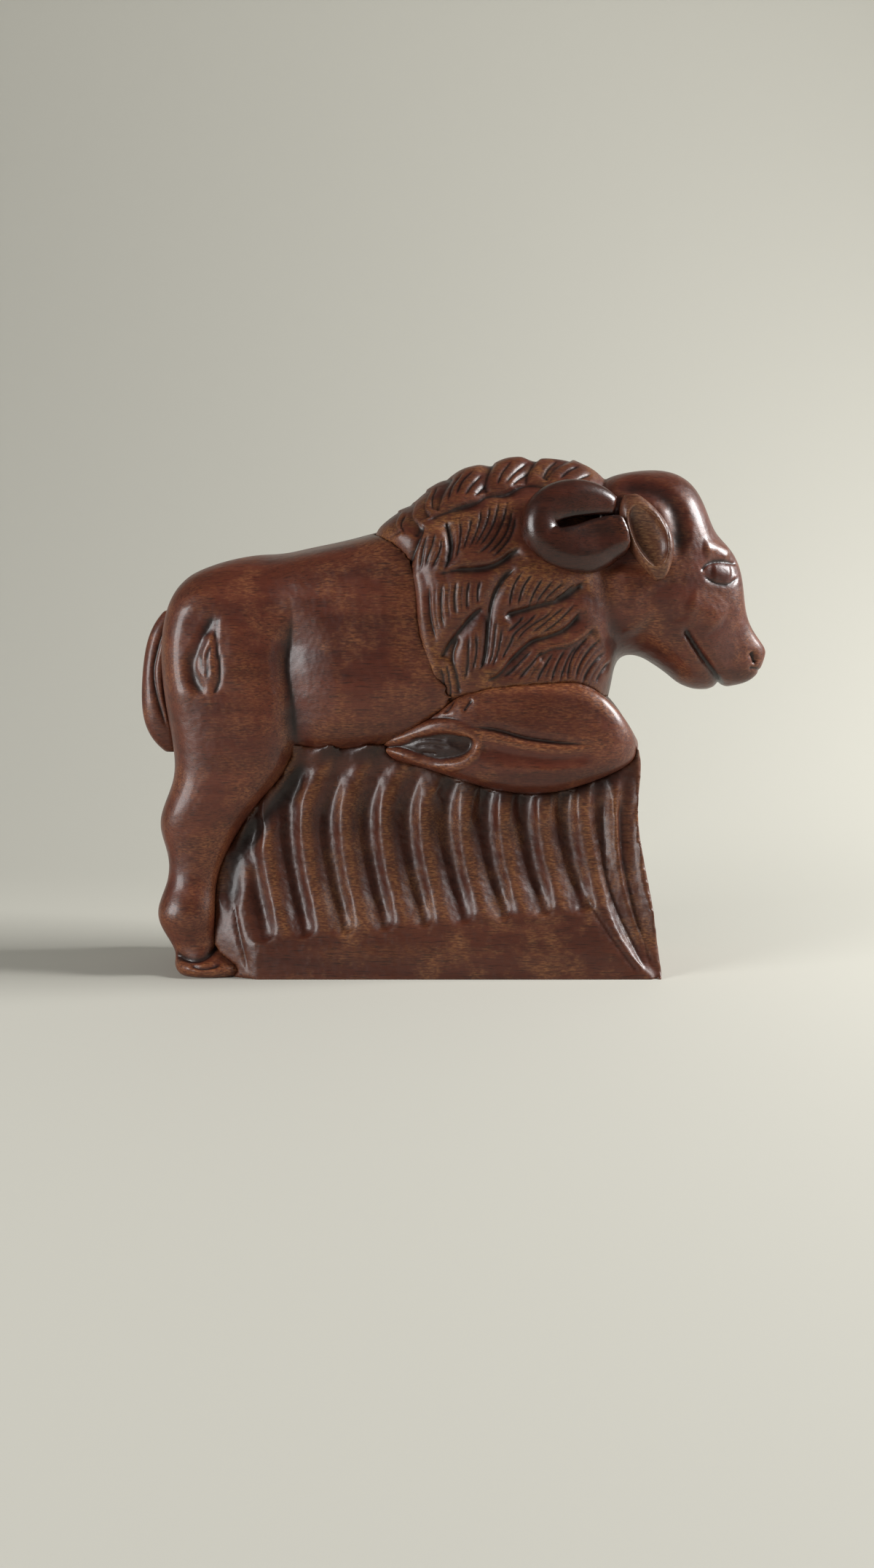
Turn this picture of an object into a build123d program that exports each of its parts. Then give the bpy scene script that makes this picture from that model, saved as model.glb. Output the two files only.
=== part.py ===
"""A carved hardwood ram at rest on a fluted rock, glued up from separate blocks on hidden dowels.

The ram faces +X and its right side faces -Y. Z is up, and the origin is the middle of the sole.
Most blocks are lofts through soft sections: a section stands on two points of the side outline and
reaches as deep as the block is there. Where two blocks meet, one is cut to seat on the other.
Millimetres and degrees.
"""

import os
from math import cos, pi, radians, sin

from build123d import *

# The fluted rock
base_length = 157.0
base_width = 60.0
base_height = 75.0
base_facet_length = 18.0
flute_count = 9
flute_pitch = 12.9
flute_first_x = -51.5
flute_radius = 5.2
flute_depth = 2.3
flute_foot_height = 16.5
flute_foot_climb = 1.15
flute_top_height = 78.0
corner_groove_radius = 4.5
corner_groove_depth = 1.8

# The trunk
trunk_length = 80.0
trunk_height = 80.0
trunk_width = 55.0
trunk_seat = 21.0
belly_height = 70.5

# One hindquarter, from hoof to croup
hind_length = 47.5
hind_height = 138.0
hind_width = 29.0
hind_rear_x = -86.5

# The fleece on neck and shoulder
fleece_length = 82.0
fleece_height = 92.5
fleece_width = 60.0
fleece_seat = 35.5
fleece_rise = 7.5
parting_width = 2.8
parting_depth = 1.4

# The head
head_length = 56.0
head_height = 73.0
head_width = 42.0
head_seat = 7.0
head_rise = 22.5

# One folded foreleg
foreleg_length = 86.0
foreleg_height = 38.0
foreleg_width = 29.5
foreleg_setback = 1.7
foreleg_drop = 11.5
fold_radius = 2.4
fold_depth = 1.6

# One horn, a curl that opens forwards
horn_curl_length = 11.6
horn_curl_height = 8.9
horn_radius = 6.3
horn_tip_radius = 3.6
horn_setback = 16.3
horn_centre_rise = 67.1
horn_sink = 9.0
horn_bulge = 4.5
horn_root_angle = -35.0
horn_sweep = 285.0
horn_sections = 16

# One ear, a scooped leaf
ear_width = 17.4
ear_length = 27.2
ear_thickness = 9.0
ear_scoop_depth = 3.8
ear_setback = 4.4
ear_rise = 35.2
ear_stand_off = 1.0
ear_tenon_diameter = 4.0
ear_tenon_length = 9.0

# The tail
tail_thickness = 13.0
tail_length = 47.0
tail_width = 15.0
tail_stand_off = 7.0
tail_rise = 1.5

# Dowels in the glue faces
dowel_diameter = 8.0
dowel_length = 34.0
hock_dowel_length = 24.0
peg_diameter = 4.0
peg_length = 14.0
glue_gap = 0.05
dowel_end_room = 1.0
dowel_spread = 13.0
base_dowel_inset = 12.5
foreleg_dowel_inset = 45.8
foreleg_dowel_reach = 13.0
rump_dowel_low_rise = 11.5
rump_dowel_high_rise = 50.5
haunch_dowel_rise = 31.5
hock_dowel_inset = 21.0
hock_dowel_height = 22.0
neck_dowel_inset = 16.5
neck_dowel_rise = 47.5
head_dowel_low_rise = 25.0
head_dowel_high_rise = 49.0
tail_peg_inset = 2.5
tail_peg_rise = 26.0
horn_peg_hold = 1.0

# How far a pair's halves are carved past the middle plane, where they are then sawn flat
saw_overlap = 4.0

# Outline points of each block: shares of its length and height at its low and high side, and of its depth
trunk_shares = [
    ((0.00, 0.14), (0.00, 0.72), 0.85),
    ((0.19, 0.03), (0.19, 0.845), 0.95),
    ((0.37, 0.00), (0.37, 0.885), 1.00),
    ((0.56, 0.01), (0.56, 0.93), 1.00),
    ((0.75, 0.04), (0.75, 0.98), 0.98),
    ((1.00, 0.12), (1.00, 1.00), 0.90),
]
hind_shares = [
    ((0.150, 0.000), (0.630, 0.000), 0.95),
    ((0.125, 0.038), (0.570, 0.038), 0.96),
    ((0.105, 0.062), (0.480, 0.062), 0.87),
    ((0.010, 0.141), (0.435, 0.141), 0.97),
    ((0.065, 0.215), (0.440, 0.215), 0.86),
    ((0.078, 0.268), (0.485, 0.268), 0.85),
    ((0.022, 0.362), (0.680, 0.384), 0.93),
    ((0.105, 0.450), (0.870, 0.464), 0.96),
    ((0.125, 0.508), (0.975, 0.530), 0.98),
    ((0.085, 0.610), (0.990, 0.623), 1.00),
    ((0.045, 0.732), (0.985, 0.732), 1.00),
    ((0.063, 0.833), (0.985, 0.820), 0.97),
    ((0.155, 0.913), (0.985, 0.885), 0.88),
    ((0.345, 0.964), (0.985, 0.938), 0.70),
    ((0.620, 0.993), (0.965, 0.975), 0.42),
    ((0.810, 1.000), (0.920, 0.993), 0.15),
]
fleece_shares = [
    ((0.230, 0.000), (0.895, 0.000), 0.70),
    ((0.190, 0.130), (0.955, 0.110), 0.84),
    ((0.130, 0.270), (0.985, 0.240), 0.93),
    ((0.112, 0.420), (1.000, 0.380), 0.98),
    ((0.110, 0.550), (1.000, 0.530), 1.00),
    ((0.060, 0.640), (1.000, 0.650), 0.94),
    ((0.012, 0.720), (0.995, 0.755), 0.82),
    ((0.105, 0.805), (0.980, 0.830), 0.69),
    ((0.220, 0.880), (0.955, 0.887), 0.56),
    ((0.370, 0.950), (0.895, 0.945), 0.40),
    ((0.590, 0.992), (0.820, 0.987), 0.18),
]
parting_shares = [
    [(0.726, 0.870), (0.616, 0.879), (0.530, 0.846), (0.457, 0.837), (0.384, 0.804), (0.299, 0.778),
     (0.226, 0.751)],
    [(0.555, 0.632), (0.494, 0.595), (0.421, 0.577), (0.335, 0.573)],
    [(0.555, 0.578), (0.512, 0.541), (0.476, 0.476), (0.460, 0.400), (0.452, 0.324), (0.438, 0.249)],
    [(0.823, 0.530), (0.780, 0.497), (0.732, 0.470), (0.665, 0.454), (0.591, 0.436), (0.518, 0.416)],
    [(0.811, 0.427), (0.793, 0.400), (0.750, 0.368), (0.689, 0.345), (0.634, 0.331), (0.585, 0.298),
     (0.537, 0.254)],
    [(0.433, 0.441), (0.396, 0.416), (0.348, 0.368), (0.305, 0.319), (0.274, 0.276)],
    [(0.293, 0.746), (0.306, 0.703), (0.313, 0.649), (0.301, 0.600)],
    [(0.323, 0.930), (0.280, 0.843), (0.262, 0.787)],
    [(0.488, 0.984), (0.455, 0.897), (0.455, 0.845)],
    [(0.677, 1.027), (0.622, 0.924), (0.610, 0.886)],
    [(0.171, 0.854), (0.152, 0.768), (0.183, 0.719)],
]
head_shares = [
    ((0.000, 0.200), (0.000, 0.930), 0.86),
    ((0.130, 0.165), (0.150, 0.980), 0.98),
    ((0.245, 0.155), (0.340, 0.992), 1.00),
    ((0.335, 0.120), (0.500, 0.955), 0.97),
    ((0.420, 0.075), (0.612, 0.845), 0.90),
    ((0.495, 0.030), (0.700, 0.705), 0.82),
    ((0.575, 0.005), (0.808, 0.605), 0.74),
    ((0.685, 0.003), (0.865, 0.430), 0.60),
    ((0.800, 0.015), (0.905, 0.305), 0.50),
    ((0.910, 0.040), (0.985, 0.210), 0.39),
    ((0.965, 0.085), (0.998, 0.165), 0.22),
]
foreleg_shares = [
    ((0.000, 0.330), (0.015, 0.390), 0.45),
    ((0.080, 0.290), (0.070, 0.520), 0.75),
    ((0.195, 0.225), (0.185, 0.660), 0.90),
    ((0.320, 0.120), (0.310, 0.880), 0.97),
    ((0.485, 0.020), (0.485, 0.990), 1.00),
    ((0.660, 0.010), (0.655, 1.000), 1.00),
    ((0.825, 0.115), (0.805, 0.945), 0.97),
    ((0.920, 0.220), (0.905, 0.750), 0.90),
    ((0.973, 0.310), (0.963, 0.560), 0.75),
    ((1.000, 0.380), (0.997, 0.465), 0.40),
]
ear_shares = [
    ((0.67, 0.000), (0.80, 0.010), 0.30),
    ((0.46, 0.150), (0.92, 0.110), 0.70),
    ((0.23, 0.355), (1.00, 0.320), 1.00),
    ((0.05, 0.635), (0.93, 0.580), 1.00),
    ((0.00, 0.820), (0.67, 0.820), 0.80),
    ((0.09, 0.980), (0.30, 1.000), 0.30),
]
tail_shares = [
    ((0.58, 0.00), (0.95, 0.00), 0.45),
    ((0.20, 0.12), (1.00, 0.10), 0.85),
    ((0.00, 0.45), (1.00, 0.45), 1.00),
    ((0.16, 0.78), (1.00, 0.80), 0.90),
    ((0.60, 1.00), (1.00, 1.02), 0.55),
]

# The rock's wall: shares of its height, of the length in front of and behind the middle, and of its width
wall_shares = [
    (0.000, 1.000, 0.90, 1.000),
    (0.054, 0.994, 0.90, 0.985),
    (0.188, 0.978, 0.90, 0.945),
    (0.346, 0.957, 0.90, 0.840),
    (0.533, 0.925, 0.90, 0.755),
    (0.740, 0.908, 0.88, 0.715),
    (1.000, 0.900, 0.80, 0.715),
]
facet_share = 0.72

# A flute leans like a reed: shares of its height and, sideways, of the pitch
flute_shares = [(1.00, 0.45), (0.60, -0.36), (0.25, -0.22), (0.00, 0.08)]
# Two long grooves run to the front corner: shares of the half length and of the height
corner_groove_shares = [
    [(0.75, 1.00), (0.77, 0.55), (0.83, 0.30), (1.00, 0.03)],
    [(0.86, 1.00), (0.87, 0.55), (0.90, 0.32), (1.04, 0.05)],
]
# The fold between forearm and shank: shares of the foreleg's length and height
fold_shares = [(0.20, 0.47), (0.36, 0.43), (0.58, 0.33), (0.80, 0.35)]

# How square a section is: the place of its corner between its middle and its full reach
block_corner_share = 0.82
fleece_corner_share = 0.86
fleece_front_share = 0.75
limb_corner_share = 0.78
foreleg_corner_share = 0.84
head_corner_share = 0.77
scoop_share = 0.76
horn_opening_share = 0.16
horn_peg_share = 0.5
horn_taper_power = 2.0

# Places that follow from the sizes above
half_base = base_length / 2
hind_front_x = hind_rear_x + hind_length
trunk_rear_x = hind_front_x - trunk_seat
fleece_rear_x = trunk_rear_x + trunk_length - fleece_seat
fleece_front_x = fleece_rear_x + fleece_length
head_rear_x = fleece_front_x - head_seat
foreleg_rear_x = fleece_rear_x + foreleg_setback
horn_x = fleece_front_x - horn_setback
horn_root_depth = fleece_width / 2 - horn_sink
ear_x = head_rear_x + ear_setback
ear_depth = head_width / 2 + ear_stand_off
tail_back_x = hind_rear_x - tail_stand_off
foreleg_z = belly_height - foreleg_drop
fleece_z = belly_height + fleece_rise
head_z = belly_height + head_rise
horn_z = fleece_z + horn_centre_rise
ear_z = head_z + ear_rise
tail_z = belly_height + tail_rise
foreleg_dowel_length = foreleg_height + 2 * foreleg_dowel_reach


def outline_point(place, origin, length, height):
    """A side-outline point from its shares of a block's length and height."""
    return Vector(origin[0] + place[0] * length, 0, origin[1] + place[1] * height)


def soft_section(low, high, near, far, corner_share, front_share=1.0):
    """A closed smooth section that stands on two outline points and reaches in depth from near to far."""
    across = high - low
    middle = (low + high) / 2 + Vector(0, (near + far) / 2, 0)
    half_across = across.length / 2
    half_deep = (far - near) / 2
    corner_across = half_across * corner_share
    corner_deep = half_deep * corner_share
    front_deep = corner_deep * front_share
    with BuildSketch(Plane(origin=middle, x_dir=across, z_dir=across.cross(Vector(0, 1, 0)))) as section:
        with BuildLine():
            Spline(
                (half_across, 0),
                (corner_across, front_deep),
                (0, half_deep),
                (-corner_across, corner_deep),
                (-half_across, 0),
                (-corner_across, -corner_deep),
                (0, -half_deep),
                (corner_across, -front_deep),
                periodic=True,
            )
        make_face()
    return section.sketch


def block_sections(shares, origin, length, height, width, corner_share, front_share=1.0):
    """Sections of a block that is alike on both sides of the middle plane."""
    sections = []
    for low, high, deep in shares:
        low_point = outline_point(low, origin, length, height)
        high_point = outline_point(high, origin, length, height)
        reach = width / 2 * deep
        sections.append(soft_section(low_point, high_point, -reach, reach, corner_share, front_share))
    return sections


def limb_sections(shares, origin, length, height, width, corner_share):
    """Sections of a limb on the right side, carved a little past the middle plane."""
    sections = []
    for low, high, deep in shares:
        low_point = outline_point(low, origin, length, height)
        high_point = outline_point(high, origin, length, height)
        sections.append(soft_section(low_point, high_point, -width * deep, saw_overlap, corner_share))
    return sections


def wall_reach(z):
    """How far the rock's side stands from the middle plane at a height."""
    share = min(max(z / base_height, 0), 1)
    for lower, upper in zip(wall_shares, wall_shares[1:]):
        if share <= upper[0]:
            along = (share - lower[0]) / (upper[0] - lower[0])
            return base_width / 2 * (lower[3] + (upper[3] - lower[3]) * along)
    return base_width / 2 * wall_shares[-1][3]


def dowel_plane(x, y, z, direction):
    """A dowel's own plane: its middle and the way it points."""
    return Plane(origin=(x, y, z), z_dir=direction)


def turn_dowels(planes, diameter, length):
    """Round dowels, one on each plane."""
    with Locations(*planes):
        Cylinder(diameter / 2, length)


def drill(planes, diameter, length):
    """Holes for such dowels, a glue line wider and a little longer."""
    with Locations(*planes):
        Cylinder(diameter / 2 + glue_gap, length + 2 * dowel_end_room, mode=Mode.SUBTRACT)


def seat_on(*pieces):
    """Cuts neighbouring pieces out of the piece in hand, so that it seats on them."""
    for piece in pieces:
        add(piece.part, mode=Mode.SUBTRACT)


def finish_piece(piece, name):
    """Labels a finished piece and writes its file."""
    piece.part.label = name
    export_step(piece.part, f"parts/{name}.step")


os.makedirs("parts", exist_ok=True)

# Blocks as carved outside, before their seats and dowel holes are cut
with BuildPart() as right_hind_block:
    loft(
        limb_sections(
            hind_shares, (hind_rear_x, 0), hind_length, hind_height, hind_width, limb_corner_share
        )
    )
    split(bisect_by=Plane.XZ, keep=Keep.TOP)

with BuildPart() as left_hind_block:
    add(right_hind_block.part)
    mirror(about=Plane.XZ, mode=Mode.REPLACE)

fold_points = []
for along, up in fold_shares:
    point = outline_point((along, up), (foreleg_rear_x, foreleg_z), foreleg_length, foreleg_height)
    fold_points.append(point - Vector(0, foreleg_width + fold_radius - fold_depth, 0))
with BuildLine() as fold_line:
    Spline(*fold_points)

with BuildPart() as right_foreleg_block:
    loft(
        limb_sections(
            foreleg_shares,
            (foreleg_rear_x, foreleg_z),
            foreleg_length,
            foreleg_height,
            foreleg_width,
            foreleg_corner_share,
        )
    )
    split(bisect_by=Plane.XZ, keep=Keep.TOP)
    with BuildSketch(Plane(origin=fold_line.line @ 0, z_dir=fold_line.line % 0)):
        Circle(fold_radius)
    sweep(path=fold_line.line, mode=Mode.SUBTRACT)

with BuildPart() as left_foreleg_block:
    add(right_foreleg_block.part)
    mirror(about=Plane.XZ, mode=Mode.REPLACE)

with BuildPart() as trunk_block:
    loft(
        block_sections(
            trunk_shares, (trunk_rear_x, belly_height), trunk_length, trunk_height, trunk_width, block_corner_share
        )
    )

with BuildPart() as fleece_block:
    loft(
        block_sections(
            fleece_shares,
            (fleece_rear_x, fleece_z),
            fleece_length,
            fleece_height,
            fleece_width,
            fleece_corner_share,
            fleece_front_share,
        )
    )

# What the partings leave standing, and the partings themselves as slots down to it
with BuildPart() as fleece_core:
    loft(
        block_sections(
            fleece_shares,
            (fleece_rear_x, fleece_z),
            fleece_length,
            fleece_height - parting_depth,
            fleece_width - 2 * parting_depth,
            fleece_corner_share,
            fleece_front_share,
        )
    )

with BuildPart() as parting_cuts:
    for places in parting_shares:
        with BuildSketch(Plane.XZ):
            with BuildLine():
                Spline(
                    *[
                        (fleece_rear_x + along * fleece_length, fleece_z + up * fleece_height)
                        for along, up in places
                    ]
                )
            trace(line_width=parting_width)
        extrude(amount=fleece_width, both=True)
    seat_on(fleece_core)

with BuildPart() as head_block:
    loft(
        block_sections(
            head_shares, (head_rear_x, head_z), head_length, head_height, head_width, head_corner_share
        )
    )

with BuildPart() as tail_block:
    loft(
        block_sections(
            tail_shares, (tail_back_x, tail_z), tail_thickness, tail_length, tail_width, limb_corner_share
        )
    )

# The horn's middle line: an oval curl that opens forwards and bulges out sideways
horn_points = []
for step in range(horn_sections + 1):
    along = step / horn_sections
    angle = radians(horn_root_angle - horn_sweep * along)
    opening = 1 + horn_opening_share * along**2
    horn_points.append(
        (
            horn_x + horn_curl_length * opening * cos(angle),
            -horn_root_depth - horn_bulge * sin(pi * along),
            horn_z + horn_curl_height * opening * sin(angle),
        )
    )
with BuildLine() as horn_line:
    Spline(*horn_points)

with BuildPart() as right_horn_block:
    for step in range(horn_sections + 1):
        along = step / horn_sections
        thickness = horn_radius + (horn_tip_radius - horn_radius) * along**horn_taper_power
        with BuildSketch(
            Plane(origin=horn_line.line @ along, x_dir=(0, 1, 0), z_dir=horn_line.line % along)
        ):
            Circle(thickness)
    loft()

# The ear's leaf and the scoop in its open side
ear_centre = Vector(ear_x + ear_width / 2, 0, ear_z + ear_length / 2)
leaf_sections = []
scoop_sections = []
for low, high, deep in ear_shares:
    low_point = outline_point(low, (ear_x, ear_z), ear_width, ear_length)
    high_point = outline_point(high, (ear_x, ear_z), ear_width, ear_length)
    reach = ear_thickness / 2 * deep
    leaf_sections.append(
        soft_section(low_point, high_point, -ear_depth - reach, -ear_depth + reach, limb_corner_share)
    )
    scoop_low = ear_centre + (low_point - ear_centre) * scoop_share
    scoop_high = ear_centre + (high_point - ear_centre) * scoop_share
    scoop_bottom = ear_depth + ear_thickness / 2 - ear_scoop_depth * deep
    scoop_sections.append(
        soft_section(scoop_low, scoop_high, -ear_depth - ear_thickness, -scoop_bottom, limb_corner_share)
    )

with BuildPart() as right_ear_block:
    loft(leaf_sections)
    loft(scoop_sections, mode=Mode.SUBTRACT)

# Middle lines of the flutes and corner grooves on the right side of the rock
flute_lines = []
for number in range(flute_count):
    foot_x = flute_first_x + flute_pitch * number
    foot_z = flute_foot_height + flute_foot_climb * number
    flute_points = []
    for up, lean in flute_shares:
        z = foot_z + (flute_top_height - foot_z) * up
        flute_points.append((foot_x + flute_pitch * lean, flute_depth - flute_radius - wall_reach(z), z))
    with BuildLine() as flute_line:
        Spline(*flute_points)
    flute_lines.append(flute_line.line)

groove_lines = []
for groove_shares in corner_groove_shares:
    groove_points = []
    for along, up in groove_shares:
        z = base_height * up
        reach = wall_reach(z) + corner_groove_radius - corner_groove_depth
        groove_points.append((half_base * along, -reach, z))
    with BuildLine() as groove_line:
        Spline(*groove_points)
    groove_lines.append(groove_line.line)

# What the gouge takes off that side
with BuildPart() as flute_cuts:
    for line in flute_lines:
        with BuildSketch(Plane(origin=line @ 0, z_dir=line % 0)):
            Circle(flute_radius)
        sweep(path=line)
        with Locations(line @ 1):
            Sphere(flute_radius)
    for line in groove_lines:
        with BuildSketch(Plane(origin=line @ 0, z_dir=line % 0)):
            Circle(corner_groove_radius)
        sweep(path=line)

with BuildPart() as far_flute_cuts:
    add(flute_cuts.part)
    mirror(about=Plane.XZ, mode=Mode.REPLACE)

# Middles and directions of the dowels
base_dowels_at = []
foreleg_dowels_at = []
haunch_dowels_at = []
hock_dowels_at = []
neck_dowels_at = []
for spread in (-dowel_spread, dowel_spread):
    base_dowels_at.append(dowel_plane(hind_front_x + base_dowel_inset, spread, belly_height, (0, 0, 1)))
    foreleg_dowels_at.append(
        dowel_plane(foreleg_rear_x + foreleg_dowel_inset, spread, foreleg_z + foreleg_height / 2, (0, 0, 1))
    )
    haunch_dowels_at.append(
        dowel_plane(hind_front_x, spread, belly_height + haunch_dowel_rise, (1, 0, 0))
    )
    hock_dowels_at.append(
        dowel_plane(hind_rear_x + hock_dowel_inset, spread, hock_dowel_height, (1, 0, 0))
    )
    neck_dowels_at.append(
        dowel_plane(fleece_rear_x + neck_dowel_inset, spread, belly_height + neck_dowel_rise, (1, 0, 0))
    )
rump_dowels_at = []
for rise in (rump_dowel_low_rise, rump_dowel_high_rise):
    rump_dowels_at.append(dowel_plane(hind_rear_x + hind_length / 2, 0, belly_height + rise, (0, 1, 0)))
head_dowels_at = []
for rise in (head_dowel_low_rise, head_dowel_high_rise):
    head_dowels_at.append(dowel_plane(head_rear_x, 0, head_z + rise, (1, 0, 0)))
tail_peg_at = [dowel_plane(hind_rear_x + tail_peg_inset, 0, tail_z + tail_peg_rise, (1, 0, 0))]
peg_root = horn_line.line @ horn_peg_share
peg_reach = -peg_root.Y - peg_length / 2 + horn_peg_hold
horn_pegs_at = [
    dowel_plane(peg_root.X, -peg_reach, peg_root.Z, (0, 1, 0)),
    dowel_plane(peg_root.X, peg_reach, peg_root.Z, (0, 1, 0)),
]
tenon_reach = ear_depth - ear_tenon_length / 2
right_tenon_at = [dowel_plane(ear_centre.X, -tenon_reach, ear_centre.Z, (0, 1, 0))]
left_tenon_at = [dowel_plane(ear_centre.X, tenon_reach, ear_centre.Z, (0, 1, 0))]

# Finished pieces
with BuildPart() as base:
    for up, front, rear, side in wall_shares:
        front_x = half_base * front
        rear_x = -half_base * rear
        reach = base_width / 2 * side
        with BuildSketch(Plane(origin=(0, 0, base_height * up))):
            with BuildLine():
                Polyline(
                    (rear_x, -reach * facet_share),
                    (rear_x + base_facet_length, -reach),
                    (front_x, -reach),
                    (front_x, reach),
                    (rear_x + base_facet_length, reach),
                    (rear_x, reach * facet_share),
                    close=True,
                )
            make_face()
    loft()
    seat_on(flute_cuts, far_flute_cuts)
    seat_on(trunk_block, right_hind_block, left_hind_block, right_foreleg_block, left_foreleg_block)
    drill(base_dowels_at, dowel_diameter, dowel_length)
    drill(foreleg_dowels_at, dowel_diameter, foreleg_dowel_length)
    drill(hock_dowels_at, dowel_diameter, hock_dowel_length)
finish_piece(base, "base")

with BuildPart() as trunk:
    add(trunk_block.part)
    seat_on(right_hind_block, left_hind_block, right_foreleg_block, left_foreleg_block, fleece_block)
    drill(base_dowels_at, dowel_diameter, dowel_length)
    drill(haunch_dowels_at, dowel_diameter, dowel_length)
    drill(neck_dowels_at, dowel_diameter, dowel_length)
finish_piece(trunk, "trunk")

with BuildPart() as right_hindquarter:
    add(right_hind_block.part)
    drill(haunch_dowels_at, dowel_diameter, dowel_length)
    drill(hock_dowels_at, dowel_diameter, hock_dowel_length)
    drill(rump_dowels_at, dowel_diameter, dowel_length)
    drill(tail_peg_at, peg_diameter, peg_length)
finish_piece(right_hindquarter, "right_hindquarter")

with BuildPart() as left_hindquarter:
    add(right_hindquarter.part)
    mirror(about=Plane.XZ, mode=Mode.REPLACE)
finish_piece(left_hindquarter, "left_hindquarter")

with BuildPart() as right_foreleg:
    add(right_foreleg_block.part)
    drill(foreleg_dowels_at, dowel_diameter, foreleg_dowel_length)
finish_piece(right_foreleg, "right_foreleg")

with BuildPart() as left_foreleg:
    add(right_foreleg.part)
    mirror(about=Plane.XZ, mode=Mode.REPLACE)
finish_piece(left_foreleg, "left_foreleg")

with BuildPart() as fleece:
    add(fleece_block.part)
    seat_on(right_foreleg_block, left_foreleg_block, head_block, parting_cuts)
    drill(foreleg_dowels_at, dowel_diameter, foreleg_dowel_length)
    drill(neck_dowels_at, dowel_diameter, dowel_length)
    drill(head_dowels_at, dowel_diameter, dowel_length)
    drill(horn_pegs_at, peg_diameter, peg_length)
finish_piece(fleece, "fleece")

with BuildPart() as head:
    add(head_block.part)
    drill(head_dowels_at, dowel_diameter, dowel_length)
    drill(right_tenon_at, ear_tenon_diameter, ear_tenon_length)
    drill(left_tenon_at, ear_tenon_diameter, ear_tenon_length)
finish_piece(head, "head")

with BuildPart() as right_ear:
    add(right_ear_block.part)
    seat_on(head_block, fleece_block)
    turn_dowels(right_tenon_at, ear_tenon_diameter, ear_tenon_length)
finish_piece(right_ear, "right_ear")

with BuildPart() as left_ear:
    add(right_ear_block.part)
    mirror(about=Plane.XZ, mode=Mode.REPLACE)
    seat_on(head_block, fleece_block)
    turn_dowels(left_tenon_at, ear_tenon_diameter, ear_tenon_length)
finish_piece(left_ear, "left_ear")

with BuildPart() as right_horn:
    add(right_horn_block.part)
    seat_on(fleece_block, head_block, right_ear)
    drill(horn_pegs_at, peg_diameter, peg_length)
finish_piece(right_horn, "right_horn")

with BuildPart() as left_horn:
    add(right_horn_block.part)
    mirror(about=Plane.XZ, mode=Mode.REPLACE)
    seat_on(fleece_block, head_block, left_ear)
    drill(horn_pegs_at, peg_diameter, peg_length)
finish_piece(left_horn, "left_horn")

with BuildPart() as tail:
    add(tail_block.part)
    seat_on(right_hind_block, left_hind_block)
    drill(tail_peg_at, peg_diameter, peg_length)
finish_piece(tail, "tail")

# The dowels themselves
with BuildPart() as base_dowels:
    turn_dowels(base_dowels_at, dowel_diameter, dowel_length)
finish_piece(base_dowels, "base_dowels")

with BuildPart() as foreleg_dowels:
    turn_dowels(foreleg_dowels_at, dowel_diameter, foreleg_dowel_length)
finish_piece(foreleg_dowels, "foreleg_dowels")

with BuildPart() as rump_dowels:
    turn_dowels(rump_dowels_at, dowel_diameter, dowel_length)
finish_piece(rump_dowels, "rump_dowels")

with BuildPart() as haunch_dowels:
    turn_dowels(haunch_dowels_at, dowel_diameter, dowel_length)
finish_piece(haunch_dowels, "haunch_dowels")

with BuildPart() as hock_dowels:
    turn_dowels(hock_dowels_at, dowel_diameter, hock_dowel_length)
finish_piece(hock_dowels, "hock_dowels")

with BuildPart() as neck_dowels:
    turn_dowels(neck_dowels_at, dowel_diameter, dowel_length)
finish_piece(neck_dowels, "neck_dowels")

with BuildPart() as head_dowels:
    turn_dowels(head_dowels_at, dowel_diameter, dowel_length)
finish_piece(head_dowels, "head_dowels")

with BuildPart() as horn_pegs:
    turn_dowels(horn_pegs_at, peg_diameter, peg_length)
finish_piece(horn_pegs, "horn_pegs")

with BuildPart() as tail_peg:
    turn_dowels(tail_peg_at, peg_diameter, peg_length)
finish_piece(tail_peg, "tail_peg")
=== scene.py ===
# %% [markdown]
# # A carved wooden ram
# The real object is a hand-carved hardwood ram on a fluted rock, stained red-brown and varnished.
# The CAD frame holds its blocks at their true size, in metres, with the origin in the middle of the sole.
# Here each block gets a fine skin, and that skin is then carved with the same kinds of cut that a carver
# makes: a parting tool for lines, a gouge for hollows, and a rasp for joins.

# %% Load the frame and keep its size
from math import atan2, radians

import bmesh
import bpy
import numpy as np
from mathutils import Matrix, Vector


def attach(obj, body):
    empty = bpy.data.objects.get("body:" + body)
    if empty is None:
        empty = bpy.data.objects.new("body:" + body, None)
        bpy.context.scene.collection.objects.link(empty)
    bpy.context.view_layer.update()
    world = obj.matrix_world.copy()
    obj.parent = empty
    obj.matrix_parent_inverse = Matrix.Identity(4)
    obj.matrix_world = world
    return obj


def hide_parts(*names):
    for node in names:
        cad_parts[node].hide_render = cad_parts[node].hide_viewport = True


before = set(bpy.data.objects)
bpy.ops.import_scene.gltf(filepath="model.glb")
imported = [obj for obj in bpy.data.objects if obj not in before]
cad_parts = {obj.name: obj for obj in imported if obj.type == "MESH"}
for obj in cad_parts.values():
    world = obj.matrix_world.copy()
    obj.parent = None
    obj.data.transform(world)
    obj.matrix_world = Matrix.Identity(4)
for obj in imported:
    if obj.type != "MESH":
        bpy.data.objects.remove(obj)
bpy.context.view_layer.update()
MM = 0.001

# %% [markdown]
# ## Helpers for colours and nodes
# Colours are written as they look on a screen, and Blender wants them in linear light, so one function
# turns the one into the other. A second function adds any node with its settings and links in one line,
# which keeps a material readable from top to bottom.

# %% Two helpers
def linear(hex_colour):
    channels = [int(hex_colour[place:place + 2], 16) / 255 for place in (1, 3, 5)]
    return [c / 12.92 if c <= 0.04045 else ((c + 0.055) / 1.055) ** 2.4 for c in channels] + [1.0]


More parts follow.
